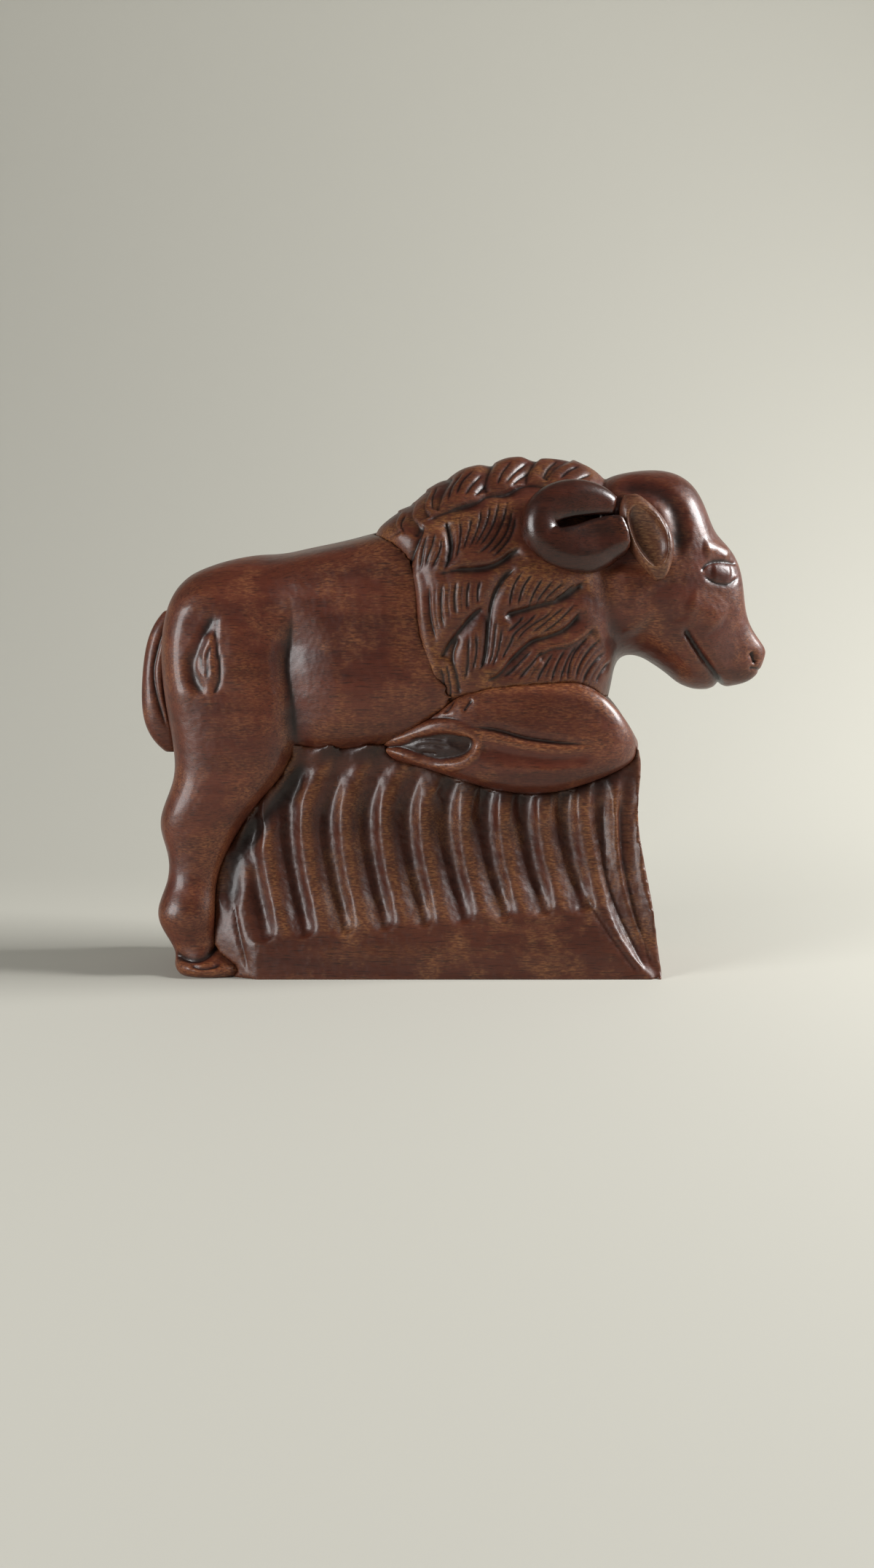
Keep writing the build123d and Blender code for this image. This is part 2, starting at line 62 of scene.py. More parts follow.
def put(tree, kind, sockets=None, **settings):
    """Adds a node, sets its properties, and fills its sockets with plain values or other nodes' outputs."""
    made = tree.nodes.new(kind)
    for name, value in settings.items():
        setattr(made, name, value)
    for socket, value in (sockets or {}).items():
        if isinstance(value, bpy.types.NodeSocket):
            tree.links.new(value, made.inputs[socket])
        else:
            made.inputs[socket].default_value = value
    return made


print("Helpers ready, a mid red-brown is", [round(c, 3) for c in linear("#5e3325")])

# %% [markdown]
# ## The wood
# It is a close-grained hardwood such as mahogany, rubbed with a dark red-brown stain and a semi-gloss
# varnish. The grain runs along the ram, so its pores show as short level streaks. Stain stays dark in the
# cuts, and handling has rubbed the high places to a paler ochre. The same darkening also paints shade into
# creases, hollows and gaps, and the same ochre paints sheen on a few faces that catch the light. Two values
# that the carving step writes on every vertex, one for stain and painted shade and one for wear and painted
# sheen, carry this to the material, which works for any view.

# %% One recipe for all the varnished woods, with the sizes of the grain in millimetres
PORE_WIDTH = 0.35
PORE_LENGTH = 5.0
SPECK_WIDTH = 0.5
SPECK_LENGTH = 1.6
BAND_WIDTH = 5.0
BAND_LENGTH = 70.0
PATCH_SIZE = 15.0
TOOL_FACET = 3.2
FACET_DEPTH = 1.2
PORE_DEPTH = 0.25


def varnished_wood(name, stain, light_stain, wear_and_sheen, dark, wear=1.0, gloss=0.42, coat=0.25, facets=0.25):
    """Stained hardwood: level pores and bands, ochre where it is rubbed and as painted sheen, dark where it is
    cut in and as painted shade.
    """
    material = bpy.data.materials.new(name)
    material.use_nodes = True
    tree = material.node_tree
    shader = tree.nodes["Principled BSDF"]
    place = put(tree, "ShaderNodeTexCoord").outputs["Object"]

    pore_scale = (1 / (PORE_LENGTH * MM), 1 / (PORE_WIDTH * MM), 1 / (PORE_WIDTH * MM))
    pore_place = put(tree, "ShaderNodeMapping", {"Vector": place, "Scale": pore_scale}).outputs[0]
    pores = put(tree, "ShaderNodeTexNoise", {"Vector": pore_place, "Scale": 1.0, "Detail": 3.0}).outputs[0]
    speck_scale = (1 / (SPECK_LENGTH * MM), 1 / (SPECK_WIDTH * MM), 1 / (SPECK_WIDTH * MM))
    speck_place = put(tree, "ShaderNodeMapping", {"Vector": place, "Scale": speck_scale}).outputs[0]
    specks = put(tree, "ShaderNodeTexNoise", {"Vector": speck_place, "Scale": 1.0, "Detail": 3.0}).outputs[0]
    band_scale = (1 / (BAND_LENGTH * MM), 1 / (BAND_WIDTH * MM), 1 / (BAND_WIDTH * MM))
    band_place = put(tree, "ShaderNodeMapping", {"Vector": place, "Scale": band_scale}).outputs[0]
    bands = put(tree, "ShaderNodeTexNoise", {"Vector": band_place, "Scale": 1.0, "Detail": 4.0}).outputs[0]
    patches = put(tree, "ShaderNodeTexNoise", {"Vector": place, "Scale": 1 / (PATCH_SIZE * MM), "Detail": 4.0,
                                               "Roughness": 0.65}).outputs[0]
    recess = put(tree, "ShaderNodeAttribute", attribute_name="recess").outputs["Fac"]
    rubbed = put(tree, "ShaderNodeAttribute", attribute_name="rubbed").outputs["Fac"]

    # The stain lies in soft level bands
    band_share = put(tree, "ShaderNodeMapRange",
                     {"Value": bands, "From Min": 0.35, "From Max": 0.68}).outputs[0]
    banded = put(tree, "ShaderNodeMix", {"Factor": band_share, "A": linear(stain), "B": linear(light_stain)},
                 data_type="RGBA").outputs[2]

    # Rubbed wood is ochre, in specks: thinly in patches anywhere, thickly where the carving marks wear or
    # painted sheen
    patch_share = put(tree, "ShaderNodeMapRange",
                      {"Value": patches, "From Min": 0.48, "From Max": 0.66, "To Max": 0.8 * wear}).outputs[0]
    wear_and_sheen_share = put(tree, "ShaderNodeMath", {0: rubbed, 1: patch_share}, operation="MAXIMUM").outputs[0]
    speck_share = put(tree, "ShaderNodeMapRange", {"Value": specks, "From Min": 0.42, "From Max": 0.64,
                                                   "To Min": 0.15, "To Max": 0.8}).outputs[0]
    wear_and_sheen_amount = put(tree, "ShaderNodeMath", {0: wear_and_sheen_share, 1: speck_share}, operation="MULTIPLY").outputs[0]
    with_wear_and_sheen = put(tree, "ShaderNodeMix", {"Factor": wear_and_sheen_amount, "A": banded, "B": linear(wear_and_sheen)},
                data_type="RGBA").outputs[2]

    # Stain that has stayed in the pores and in the cuts, and painted shade in creases, hollows and gaps
    pore_share = put(tree, "ShaderNodeMapRange",
                     {"Value": pores, "From Min": 0.54, "From Max": 0.68, "To Max": 0.6}).outputs[0]
    pored = put(tree, "ShaderNodeMix", {"Factor": pore_share, "A": with_wear_and_sheen, "B": linear(dark)},
                data_type="RGBA").outputs[2]
    stain_and_shade_share = put(tree, "ShaderNodeMapRange",
                    {"Value": recess, "From Min": 0.08, "From Max": 0.85, "To Max": 0.86}).outputs[0]
    coloured = put(tree, "ShaderNodeMix", {"Factor": stain_and_shade_share, "A": pored, "B": linear(dark)},
                   data_type="RGBA").outputs[2]
    tree.links.new(coloured, shader.inputs["Base Color"])

    # The varnish: a little duller in some patches than in others
    dulled = put(tree, "ShaderNodeMapRange", {"Value": patches, "From Min": 0.3, "From Max": 0.7,
                                              "To Min": gloss - 0.07, "To Max": gloss + 0.12}).outputs[0]
    tree.links.new(dulled, shader.inputs["Roughness"])
    shader.inputs["IOR"].default_value = 1.5
    shader.inputs["Specular IOR Level"].default_value = 0.32
    shader.inputs["Coat Weight"].default_value = coat
    shader.inputs["Coat Roughness"].default_value = 0.16

    # The surface: shallow tool facets, and pores on top of them
    cells = put(tree, "ShaderNodeTexNoise",
                {"Vector": place, "Scale": 1 / (TOOL_FACET * MM), "Detail": 1.0}).outputs[0]
    worked = put(tree, "ShaderNodeBump",
                 {"Height": cells, "Strength": facets, "Distance": FACET_DEPTH * MM}).outputs[0]
    grained = put(tree, "ShaderNodeBump", {"Height": pores, "Strength": 0.25, "Distance": PORE_DEPTH * MM,
                                           "Normal": worked}).outputs[0]
    tree.links.new(grained, shader.inputs["Normal"])
    return material


body_wood = varnished_wood("mahogany, carved, stained and varnished",
                           "#40190f", "#562719", "#8a5634", "#120705")
fleece_wood = varnished_wood("mahogany, cut with a parting tool", "#421c12", "#56291b", "#87582f", "#0d0604",
                             wear=1.3, coat=0.12)
rock_wood = varnished_wood("mahogany, gouged flutes", "#3e1b10", "#4f2719", "#835633", "#140906",
                           wear=1.2, gloss=0.44, coat=0.18, facets=0.4)
horn_wood = varnished_wood("mahogany, horn rubbed glossy", "#25120d", "#3f1c13", "#5c301c", "#0b0504",
                           wear=0.4, gloss=0.28, facets=0.06)
# The ear's wood is paler than the body's, partly for wear and partly as painted sheen on the scoop that faces
# the light.
ear_wood_with_sheen = varnished_wood("mahogany, ear scooped and rubbed pale", "#432015", "#573020", "#8a6242", "#140906",
                          gloss=0.44, coat=0.2)
dowel_wood = varnished_wood("beech dowel, bare", "#b08d62", "#bf9c72", "#cbb089", "#7a5d3e",
                            wear=0.4, gloss=0.6)
print("Woods:", [material.name for material in bpy.data.materials])

# %% [markdown]
# ## A skin to carve
# A CAD block is a handful of smooth faces, too coarse to carve. A voxel remesh lays an even net of small
# squares over a copy of it, closes the hidden dowel holes of joined blocks and forgets the old faces. The
# blocks of the trunk and hindquarters share one skin, so that the body reads as one piece of wood.

# %% Copies of blocks under one even net
WELD = 0.01


def skin_over(name, blocks, net, soften):
    """One closed skin of small squares over copies of CAD blocks. net is a square's side in mm."""
    shape = bmesh.new()
    for block in blocks:
        shape.from_mesh(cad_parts[block].data)
    bmesh.ops.remove_doubles(shape, verts=shape.verts, dist=WELD * MM)
    mesh = bpy.data.meshes.new(name)
    shape.to_mesh(mesh)
    shape.free()
    piece = bpy.data.objects.new(name, mesh)
    bpy.context.collection.objects.link(piece)
    cover = piece.modifiers.new("even net", "REMESH")
    cover.mode = "VOXEL"
    cover.voxel_size = net * MM
    rounder = piece.modifiers.new("softened edges", "SMOOTH")
    rounder.iterations = soften
    bpy.context.view_layer.update()
    finished = piece.evaluated_get(bpy.context.evaluated_depsgraph_get())
    piece.data = bpy.data.meshes.new_from_object(finished)
    piece.modifiers.clear()
    piece.data.name = name
    piece.data.shade_smooth()
    return piece


print("Nodes in the frame:", len(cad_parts))

# %% [markdown]
# ## Lines on the wood
# A cut is a line in the side view, given by a few points in millimetres along the ram and up. It is made
# on both sides at once, because it moves each vertex inwards along its own normal, by how near that vertex
# is to the line in the side view. So the first need is a smooth curve and the distance from it.

# %% Curves, distances and soft steps
CURVE_STEPS = 10


def smooth_line(points):
    """A smooth curve through given points, as many short straight runs."""
    knots = np.array(points, dtype=float)
    if len(knots) == 2:
        return knots
    padded = np.vstack([2 * knots[0] - knots[1], knots, 2 * knots[-1] - knots[-2]])
    share = np.linspace(0, 1, CURVE_STEPS, endpoint=False)[:, None]
    runs = []
    for a, b, c, d in zip(padded, padded[1:], padded[2:], padded[3:]):
        runs.append(0.5 * (2 * b + (c - a) * share + (2 * a - 5 * b + 4 * c - d) * share**2
                           + (3 * b - a - 3 * c + d) * share**3))
    return np.vstack(runs + [knots[-1:]])


def between(first, second):
    """A hair half-way between two neighbouring hairs."""
    share = np.linspace(0, 1, CURVE_STEPS)
    sides = []
    for points in (first, second):
        line = smooth_line(points)
        walked = np.concatenate([[0], np.cumsum(np.linalg.norm(np.diff(line, axis=0), axis=1))])
        even = [np.interp(share * walked[-1], walked, line[:, axis]) for axis in (0, 1)]
        sides.append(np.stack(even, axis=1))
    return (sides[0] + sides[1]) / 2


def near_line(spots, line):
    """For each spot: its distance from the line, on which side it is, and its share of the line's length."""
    reach = np.full(len(spots), np.inf)
    side = np.zeros(len(spots))
    share = np.zeros(len(spots))
    steps = np.linalg.norm(np.diff(line, axis=0), axis=1)
    walked = np.concatenate([[0], np.cumsum(steps)])
    for start, end, length, before in zip(line, line[1:], steps, walked):
        way = (end - start) / length
        offset = spots - start
        along = np.clip(offset @ way, 0, length)
        gap = offset - along[:, None] * way
        distance = np.hypot(gap[:, 0], gap[:, 1])
        closer = distance < reach
        reach[closer] = distance[closer]
        side[closer] = np.sign(way[0] * offset[:, 1] - way[1] * offset[:, 0])[closer]
        share[closer] = ((before + along) / walked[-1])[closer]
    return reach, side, share


def fade(value, low, high):
    """0 below low, 1 above high, smooth between."""
    share = np.clip((value - low) / (high - low), 0, 1)
    return share * share * (3 - 2 * share)


print("A curve through three points has", len(smooth_line([(0, 0), (1, 1), (2, 0)])), "points")

# %% [markdown]
# ## The carving bench
# The bench holds one skin while it is carved. Its tools differ only in the cross-section they leave: a
# parting tool cuts a narrow V, a lapping chisel cuts steeply on one side so that one lock lies over the
# next, and a gouge hollows softly. A negative depth raises the wood instead. Where cuts meet, the deepest
# counts, but raises add up, so the two are kept apart until the wood is settled. A cut also leaves stain
# in it, and along some lines that stain is painted shade. Other tools sink all inside a closed line, pull
# the wood round a spot, or close a slit and paint shade along it. The rasp evens out a join, and one tool
# pales the wood, for stain that handling wore off and for painted sheen. At the end, inward bends of the
# surface give stain and painted shade, and outward bends give wear.

# %% A piece on the bench
SIDEWAYS = (0.10, 0.45)  # how far a surface faces the side where a cut begins to bite, and where it bites fully
END_WIDTH = 0.45  # share of its width that a tapered cut keeps at its ends
FINE_PASSES = 2  # rounds of evening out before a bend of the surface counts as fine
BROAD_PASSES = 14  # and before it counts as broad
STAIN_AND_SHADE_HOLD = 0.55  # share of a cut's stain and painted shade that stays
GROOVE_FINE, GROOVE_BROAD = 9, 14  # stain and painted shade per mm of inward bend
EDGE_FINE, EDGE_BROAD = 11, 14  # wear per mm of outward bend


class Bench:
    """Holds a skin's vertices in millimetres while it is carved."""

    def __init__(self, piece):
        self.piece = piece
        count = len(piece.data.vertices)
        self.spots = np.empty(count * 3)
        piece.data.vertices.foreach_get("co", self.spots)
        self.spots = self.spots.reshape(-1, 3) / MM
        ends = np.empty(len(piece.data.edges) * 2, dtype=int)
        piece.data.edges.foreach_get("vertices", ends)
        self.ends = ends.reshape(-1, 2)
        self.neighbours = np.bincount(self.ends.ravel(), minlength=count)
        # stain holds the cuts' stain and painted shade; the next array holds wear and painted sheen
        self.stain = np.zeros(count)
        self.wear_and_sheen = np.zeros(count)
        self.depth = np.zeros(count)
        self.lift = np.zeros(count)
        self.read_normals()

    def read_normals(self):
        self.piece.data.vertices.foreach_set("co", (self.spots * MM).ravel())
        self.piece.data.update()
        normals = np.empty(len(self.spots) * 3)
        self.piece.data.vertex_normals.foreach_get("vector", normals)
        self.normals = normals.reshape(-1, 3)

    def around(self, values):
        """The mean of each vertex's neighbours."""
        first, second = self.ends.T
        count = len(values)
        total = np.bincount(first, values[second], count) + np.bincount(second, values[first], count)
        return total / np.maximum(self.neighbours, 1)

    def pick(self, line, width):
        """The vertices near a line in the side view, with their distance, side and share of its length."""
        plan = self.spots[:, (0, 2)]
        low, high = line.min(axis=0) - width, line.max(axis=0) + width
        picked = np.flatnonzero(((plan > low) & (plan < high)).all(axis=1))
        return (picked, *near_line(plan[picked], line))

    def cut(self, points, width, depth, tool="vee", over_top=False, taper=0.2, dark=1.0, steep=5.0):
        """One cut along a line. A negative depth raises the wood. Only the lapping chisel uses steep."""
        picked, reach, side, share = self.pick(smooth_line(points), width)
        ends = fade(np.minimum(share, 1 - share), 0, taper) if taper else 1.0
        spread = reach / (width * (END_WIDTH + (1 - END_WIDTH) * ends))
        if tool == "vee":
            section = 0.6 * np.exp(-(spread / 0.28) ** 2) + 0.4 * np.clip(1 - spread, 0, 1)
        elif tool == "lap":
            spread = np.where(side > 0, spread, spread * steep)
            section = np.clip(1 - spread, 0, 1) ** 1.4
        else:
            section = np.where(spread < 1, 0.5 + 0.5 * np.cos(np.pi * np.minimum(spread, 1)), 0)
        facing = 1.0 if over_top else fade(np.abs(self.normals[picked, 1]), *SIDEWAYS)
        amount = depth * section * ends * facing
        if depth > 0:
            self.depth[picked] = np.maximum(self.depth[picked], amount)
            # A cut's dark is stain in the cut; along some lines it is painted shade or painted shadow.
            self.stain[picked] = np.maximum(self.stain[picked], dark * section**1.5 * ends * facing)
        else:
            self.lift[picked] -= amount

    def hollow(self, points, depth, wall, dark):
        """Sinks all that lies inside a closed line, with a sloping wall along it."""
        line = smooth_line(points)
        picked, reach, _, _ = self.pick(line, wall)
        x, z = self.spots[picked][:, (0, 2)].T
        inside = np.zeros(len(picked), dtype=bool)
        for (x0, z0), (x1, z1) in zip(line, line[1:]):
            if z0 != z1:
                inside ^= ((z0 > z) != (z1 > z)) & (x < x0 + (z - z0) * (x1 - x0) / (z1 - z0))
        facing = fade(np.abs(self.normals[picked, 1]), *SIDEWAYS)
        self.depth[picked] = np.maximum(self.depth[picked], depth * inside * fade(reach, 0, wall) * facing)
        stain = dark * inside * fade(reach, 0.5 * wall, 1.2 * wall)
        self.stain[picked] = np.maximum(self.stain[picked], stain)

    def pull(self, centre, reach, shift):
        """Takes hold of the wood round a spot in the side view and moves it along and up."""
        distance = np.hypot(*(self.spots[:, (0, 2)] - centre).T)
        self.spots[:, (0, 2)] += np.outer(1 - fade(distance, 0.2 * reach, reach), shift)
        self.read_normals()

    def close_slit(self, points, gaps, reach):
        """Brings the wood above and below a level line together, and paints shade along the slit. gaps are
        half-widths at its points.
        """
        line = smooth_line(points)
        x, z = self.spots[:, (0, 2)].T
        offset = z - np.interp(x, line[:, 0], line[:, 1])
        gap = np.interp(x, [point[0] for point in points], gaps)
        faces_slit = fade(-np.sign(offset) * self.normals[:, 2], 0.0, 0.5)
        within = fade(x, line[0, 0] - 2, line[0, 0] + 1) * (1 - fade(np.abs(offset), 0.7 * reach, reach))
        self.spots[:, 2] -= faces_slit * within * (offset - np.sign(offset) * np.minimum(np.abs(offset), gap))
        self.read_normals()
        # Painted shade in and along the slit.
        self.stain = np.maximum(self.stain, 0.9 * (near_line(self.spots[:, (0, 2)], line)[0] < 1.4 * gap))

    def rub(self, points, width, amount):
        """Pales the wood along a broad soft line: wear where handling took the stain off, and painted sheen on
        faces that catch the light.
        """
        picked, reach, _, _ = self.pick(smooth_line(points), width)
        self.wear_and_sheen[picked] = np.maximum(self.wear_and_sheen[picked], amount * (1 - fade(reach / width, 0, 1)))

    def rasp(self, points, width, passes):
        """Evens out the wood near a line."""
        picked, reach, _, _ = self.pick(smooth_line(points), width)
        share = np.zeros(len(self.spots))
        share[picked] = 1 - fade(reach / width, 0.4, 1)
        for _ in range(passes):
            for axis in range(3):
                self.spots[:, axis] += share * (self.around(self.spots[:, axis]) - self.spots[:, axis])
        self.read_normals()

    def settle(self):
        """Takes the cuts off the wood, so that the next ones start from the new surface."""
        self.spots += self.normals * (self.lift - self.depth)[:, None]
        self.depth[:] = 0
        self.lift[:] = 0
        self.read_normals()

    def weather(self, proud=0.12, edge_wear=1.0, groove_stain_and_shade=1.0):
        """Lifts the skin a hair's breadth off the block, and writes stain with painted shade, and wear with
        painted sheen, on every vertex.
        """
        self.settle()
        centre = np.stack([self.around(self.spots[:, axis]) for axis in range(3)], axis=1)
        bend = ((centre - self.spots) * self.normals).sum(axis=1)
        for _ in range(FINE_PASSES):
            bend = 0.5 * bend + 0.5 * self.around(bend)
        broad = bend.copy()
        for _ in range(BROAD_PASSES):
            broad = self.around(broad)
        # Inward bends darken like ambient occlusion: painted shade, with stain held in the creases.
        grooves = groove_stain_and_shade * (GROOVE_FINE * np.clip(bend, 0, None) + GROOVE_BROAD * np.clip(broad, 0, None))
        recess = np.clip(STAIN_AND_SHADE_HOLD * self.stain + grooves, 0, 1)
        edges = edge_wear * (EDGE_FINE * np.clip(-bend, 0, None) + EDGE_BROAD * np.clip(-broad, 0, None))
        rubbed = np.clip(edges + self.wear_and_sheen - recess, 0, 1)
        self.spots += self.normals * proud
        self.read_normals()
        for name, values in (("recess", recess), ("rubbed", rubbed)):
            self.piece.data.attributes.new(name, "FLOAT", "POINT").data.foreach_set("value", values)

    def saw(self, name, points):
        """Takes off the part of the skin in front of a line in the side view, as a piece of its own."""
        line = smooth_line(points)
        front = self.spots[:, 0] > np.interp(self.spots[:, 2], line[:, 1], line[:, 0])
        cut_off = self.piece.copy()
        cut_off.data = self.piece.data.copy()
        cut_off.name = cut_off.data.name = name
        bpy.context.collection.objects.link(cut_off)
        for piece, unwanted in ((self.piece, front), (cut_off, ~front)):
            shape = bmesh.new()
            shape.from_mesh(piece.data)
            doomed = [face for face in shape.faces if unwanted[face.verts[0].index]]
            bmesh.ops.delete(shape, geom=doomed, context="FACES")
            shape.to_mesh(piece.data)
            shape.free()
        return cut_off


def hand_over(piece, material, slot, *blocks):
    """Gives a carved piece its wood and puts it in the frame in place of CAD blocks."""
    piece.data.materials.clear()
    piece.data.materials.append(material)
    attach(piece, "root")
    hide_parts(*blocks)
    piece.data.calc_loop_triangles()
    print(f"{piece.name}: {len(piece.data.loop_triangles)} triangles")


print("Bench tools:", [name for name in vars(Bench) if not name.startswith("_")])

# %% [markdown]
# ## The body
# Flank, haunches and hind legs are broad and plain. The rasp first evens out the joins between the blocks.
# A long groove then parts haunch from flank, a leaf of three veins is cut into the haunch, and a line and a
# cleft set off the hoof.

# %% Carve the body
body = Bench(skin_over("carved_body", ["trunk", "right_hindquarter", "left_hindquarter"], net=0.75, soften=6))
body.rasp([(-62, 134), (-48, 136), (-30, 138)], width=14, passes=60)
body.rasp([(-46, 132), (-46, 115), (-45, 95), (-42, 76)], width=9, passes=50)
flank_groove = [(-40.5, 121), (-41.3, 111), (-42.4, 101), (-41.2, 91), (-40.2, 81), (-39.4, 71)]
body.cut(flank_groove, width=3.0, depth=0.9, dark=0.4)
haunch_ridge = [(-58, 127.5), (-70, 122.5), (-76, 114), (-78, 103), (-76, 92), (-74, 82)]
body.cut(haunch_ridge, width=5.5, depth=-0.5, tool="gouge")
body.cut([(-68, 119), (-74, 105), (-70, 92)], width=9, depth=0.7, tool="gouge", dark=0)
body.cut([(-60, 116), (-58.5, 104), (-61, 92)], width=7, depth=-0.5, tool="gouge")
body.cut(flank_groove, width=15, depth=2.8, tool="lap", taper=0.3, dark=0.1, steep=2.5)
# A shallow gouge on the flank along the fleece's edge, darkened as painted shadow from the fleece.
painted_shadow_beside_fleece = [(-12, 141), (-3, 133), (0, 124), (1, 112), (4, 103), (9, 94), (13, 88)]
body.cut(painted_shadow_beside_fleece, width=4, depth=0.1, tool="gouge", dark=0.7)
body.settle()
leaf_back = [(-64.3, 118), (-67.6, 112), (-70.6, 106), (-72.3, 101), (-71.2, 95.5), (-67.6, 91)]
leaf_front = [(-63.3, 118), (-64.6, 112), (-64.2, 106), (-63.3, 101), (-63.6, 95.5), (-66, 90.5)]
body.cut(leaf_back, width=3.4, depth=1.0, tool="gouge", taper=0.12, dark=0.5)
body.cut(leaf_front, width=1.7, depth=0.7, taper=0.12, dark=0.7)
body.cut([(-65.6, 112), (-67, 104), (-66, 95)], width=4, depth=-0.6, tool="gouge")
for vein in ([(-66.5, 110.5), (-69.2, 104), (-68.6, 97.5)], [(-65.7, 108), (-67.4, 103), (-67, 96)]):
    body.cut(vein, width=1.6, depth=0.7, dark=1.2)
body.cut([(-80, 6.4), (-74, 5.8), (-69, 6.8), (-65, 10.5), (-63, 14.5)], width=2.2, depth=1.7, taper=0.05)
body.cut([(-75, 4.4), (-69, 3.4), (-63.5, 4.8)], width=2.0, depth=1.1)
for stroke, width, amount in (([(-7, 130), (-6, 118), (-5, 104)], 7, 0.55), ([(-30, 80), (-12, 82)], 9, 0.3),
                              ([(-43.5, 104), (-44, 90), (-42.5, 74)], 3.5, 0.75),
                              ([(-55, 100), (-53, 92)], 8, 0.4), ([(-62, 70), (-52, 66)], 7, 0.35),
                              ([(-64, 48), (-67, 34), (-67, 22)], 4.5, 0.55),
                              ([(-12, 140), (-14, 136), (-8, 132)], 5, 0.5)):
    body.rub(stroke, width, amount)
body.weather()
hand_over(body.piece, body_wood, "carved_wood", "trunk", "right_hindquarter", "left_hindquarter")

# %% [markdown]
# ## The fleece
# The neck carries locks in tiers under a crest of lobes that shows on the outline. Tiers and lobes lap over
# one another like tiles, so they are cut with the lapping chisel, always with the lower lock on the left
# hand of the stroke. Hairs are parted inside each lock, and a finer hair goes between every two of them.

# %% Lines of the fleece, as a carver pencils them on the side
crest_laps = [
    [(-6, 142.5), (-8, 146.5), (-6, 152)],
    [(-1.5, 141), (0, 145), (-2.6, 149), (-1.5, 155)],
    [(3.5, 147.5), (1.6, 152.5), (3.5, 159)],
    [(5.8, 149.5), (7.4, 156), (10.8, 163)],
    [(21.8, 155.5), (21.8, 161), (24.5, 168)],
    [(34.5, 158.5), (35.5, 163.5), (40, 171)],
    [(40.5, 160), (44, 165), (51, 169.5)],
]
crest_hairs = [
    [(6.2, 160), (4.2, 154.5), (4.6, 149.5)],
    [(14.5, 164), (10.5, 158.5), (9, 152.5)],
    [(18.5, 165), (14, 160.5), (11.5, 154.5)],
    [(21, 163), (17, 158.8), (14.2, 154.4)],
    [(22, 159), (19.5, 156.8), (17.6, 154.6)],
    [(30.5, 168), (26.8, 163), (24.8, 158)],
    [(36, 167.5), (31, 163.2), (27.2, 158.6)],
    [(36, 163.5), (32, 160.8), (29.4, 158)],
    [(46, 168.5), (42, 164.8), (39.8, 160.4)],
    [(53, 166.5), (48.5, 164), (45, 160.6)],
    [(57, 163.5), (52.5, 161.6), (49, 158.8)],
    [(-4, 150), (-5.8, 146), (-4.2, 142)],
    [(-13, 141), (-9, 138.8), (-5, 134.5)],
]
tier_edges = [
    [(46, 158), (35, 159.3), (28, 156), (22, 155.4), (18, 153), (12, 151), (6, 149), (1, 146)],
    [(32.5, 139), (29.5, 136.3), (25, 133), (19, 131.4), (12, 131), (5, 129.5)],
    [(21, 119.6), (17, 116.5), (13, 112), (9.5, 107.5), (6.5, 102.5)],
    [(53, 128), (49, 124.3), (44.5, 121.5), (39, 120), (33, 118.3), (26.5, 116.5)],
    [(52, 119), (49.5, 115), (46, 112), (41, 109.9), (36.5, 108.6), (32.5, 105.6), (28.5, 101.5), (25, 97.5),
     (20, 95.5)],
    [(57, 113), (52, 109), (47, 106.6), (42, 105.8), (37, 103.5)],
]
fleece_edge = [(-1.4, 132.6), (0.4, 124.2), (1.4, 114.5), (3.3, 104.9), (5.1, 100), (6.2, 95)]
deep_partings = [
    [(-7, 136.5), (-3.5, 133.2), (-1.5, 137), (0.5, 142), (1.5, 146)],
    [(8.5, 147), (9.6, 143), (10.2, 138), (9.2, 133.5), (7.8, 130.4)],
    [(31, 132), (26.5, 128), (23.5, 122), (22.2, 115), (21.6, 108), (20.8, 102.5), (18.5, 98)],
    [(12.5, 110.5), (10.5, 104), (12, 97), (13, 91)],
]
